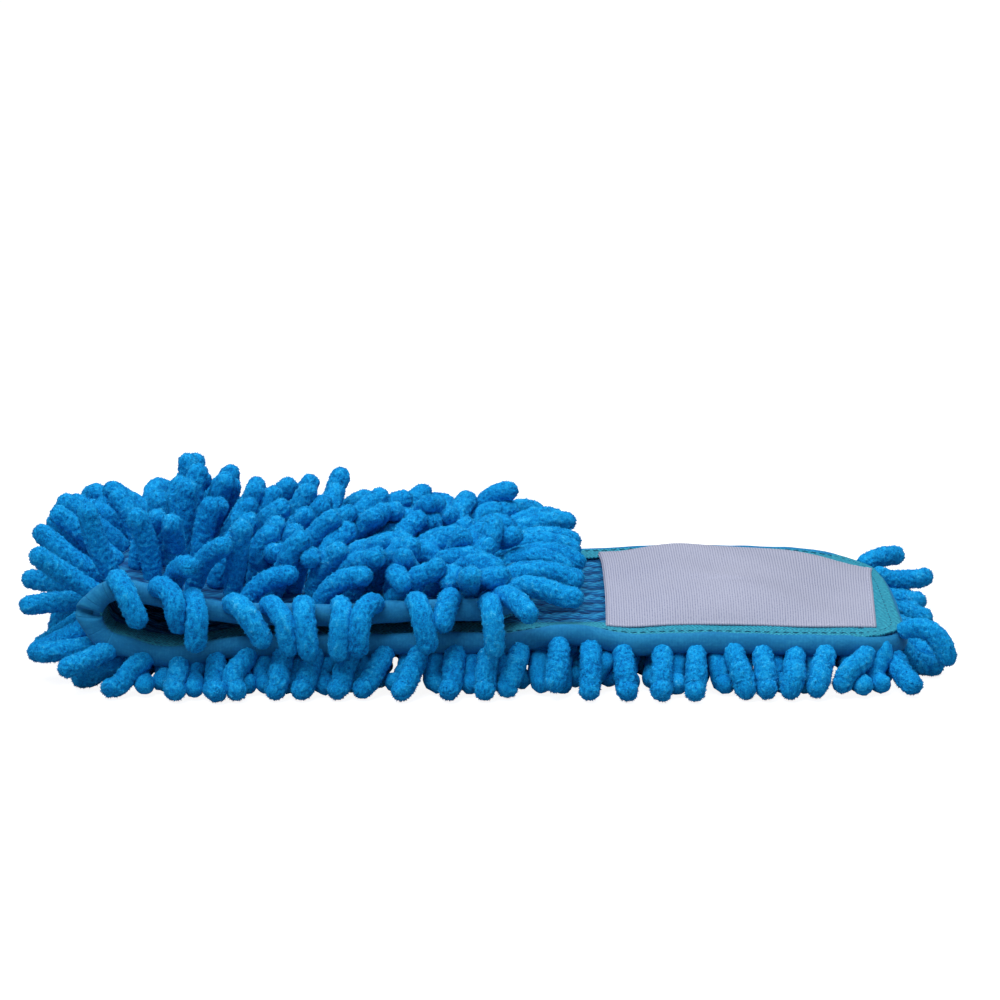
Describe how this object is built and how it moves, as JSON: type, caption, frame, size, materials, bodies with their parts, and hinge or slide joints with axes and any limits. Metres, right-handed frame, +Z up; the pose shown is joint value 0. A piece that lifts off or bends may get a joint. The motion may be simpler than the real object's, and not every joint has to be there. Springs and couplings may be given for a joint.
{
  "type": "chenille wash mitt",
  "caption": "Slip-on chenille wash mitt folded in half: plush microfibre noodles, bound edge and a ribbed cloth pocket on the back of each end.",
  "frame": {"origin": "middle of the bottom of the folded mitt's box, on the surface that it lies on", "axes": "+X along the mitt towards the pocket end that shows, +Y from front to back, +Z up"},
  "size_m": [0.3238, 0.1317, 0.0584],
  "materials": {
    "chenille_pile": "plush microfibre chenille, blue",
    "chenille_base_cloth": "ridged knitted ground cloth, deep blue",
    "facing_tape": "herringbone twill tape, teal",
    "binding_tape": "soft knitted binding, blue",
    "pocket_cloth": "fine ribbed knit, pale lavender grey",
    "sewing_thread": "spun polyester sewing thread"
  },
  "bodies": {
    "lower_panel": {"lower_base_cloth": "chenille_base_cloth", "lower_binding_back": "binding_tape", "lower_binding_end": "binding_tape", "lower_binding_front": "binding_tape", "lower_facing": "facing_tape", "lower_noodles_row_01": "chenille_pile", "lower_noodles_row_02": "chenille_pile", "lower_noodles_row_03": "chenille_pile", "lower_noodles_row_04": "chenille_pile", "lower_noodles_row_05": "chenille_pile", "lower_noodles_row_06": "chenille_pile", "lower_noodles_row_07": "chenille_pile", "lower_noodles_row_08": "chenille_pile", "lower_noodles_row_09": "chenille_pile", "lower_noodles_row_10": "chenille_pile", "lower_noodles_row_11": "chenille_pile", "lower_pocket": "pocket_cloth", "lower_pocket_hem": "pocket_cloth", "lower_pocket_seam": "sewing_thread"},
    "fold_1": {"fold_1_base_cloth": "chenille_base_cloth", "fold_1_binding": "binding_tape", "fold_1_facing": "facing_tape", "fold_1_noodles": "chenille_pile"},
    "fold_2": {"fold_2_base_cloth": "chenille_base_cloth", "fold_2_binding": "binding_tape", "fold_2_facing": "facing_tape", "fold_2_noodles": "chenille_pile"},
    "fold_3": {"fold_3_base_cloth": "chenille_base_cloth", "fold_3_binding": "binding_tape", "fold_3_facing": "facing_tape", "fold_3_noodles": "chenille_pile"},
    "fold_4": {"fold_4_base_cloth": "chenille_base_cloth", "fold_4_binding": "binding_tape", "fold_4_facing": "facing_tape", "fold_4_noodles": "chenille_pile"},
    "fold_5": {"fold_5_base_cloth": "chenille_base_cloth", "fold_5_binding": "binding_tape", "fold_5_facing": "facing_tape", "fold_5_noodles": "chenille_pile"},
    "flap": {"flap_base_cloth": "chenille_base_cloth", "flap_binding_back": "binding_tape", "flap_binding_end": "binding_tape", "flap_binding_front": "binding_tape", "flap_facing": "facing_tape", "flap_noodles_row_01": "chenille_pile", "flap_noodles_row_02": "chenille_pile", "flap_noodles_row_03": "chenille_pile", "flap_noodles_row_04": "chenille_pile", "flap_noodles_row_05": "chenille_pile", "flap_noodles_row_06": "chenille_pile", "flap_noodles_row_07": "chenille_pile", "flap_noodles_row_08": "chenille_pile", "flap_noodles_row_09": "chenille_pile", "flap_noodles_row_10": "chenille_pile", "flap_noodles_row_11": "chenille_pile", "flap_pocket": "pocket_cloth", "flap_pocket_hem": "pocket_cloth", "flap_pocket_seam": "sewing_thread"}
  },
  "joints": [
    {"name": "fold_hinge_1", "type": "hinge", "parent": "lower_panel", "child": "fold_1", "pos_m": [-0.13021, 0, 0.017], "axis": [0, -1, 0], "range_deg": [0, 30.56]},
    {"name": "fold_hinge_2", "type": "hinge", "parent": "fold_1", "child": "fold_2", "pos_m": [-0.13503, 0, 0.01985], "axis": [0, -1, 0], "range_deg": [0, 30.56]},
    {"name": "fold_hinge_3", "type": "hinge", "parent": "fold_2", "child": "fold_3", "pos_m": [-0.13774, 0, 0.02475], "axis": [0, -1, 0], "range_deg": [0, 30.56]},
    {"name": "fold_hinge_4", "type": "hinge", "parent": "fold_3", "child": "fold_4", "pos_m": [-0.13758, 0, 0.03035], "axis": [0, -1, 0], "range_deg": [0, 30.56]},
    {"name": "fold_hinge_5", "type": "hinge", "parent": "fold_4", "child": "fold_5", "pos_m": [-0.13459, 0, 0.03508], "axis": [0, -1, 0], "range_deg": [0, 30.56]},
    {"name": "fold_hinge_6", "type": "hinge", "parent": "fold_5", "child": "flap", "pos_m": [-0.12961, 0, 0.03764], "axis": [0, -1, 0], "range_deg": [0, 30.56]}
  ],
  "couplings": [
    {"joint": "fold_hinge_2", "follows": "fold_hinge_1", "ratio": 1},
    {"joint": "fold_hinge_3", "follows": "fold_hinge_1", "ratio": 1},
    {"joint": "fold_hinge_4", "follows": "fold_hinge_1", "ratio": 1},
    {"joint": "fold_hinge_5", "follows": "fold_hinge_1", "ratio": 1},
    {"joint": "fold_hinge_6", "follows": "fold_hinge_1", "ratio": 1}
  ]
}
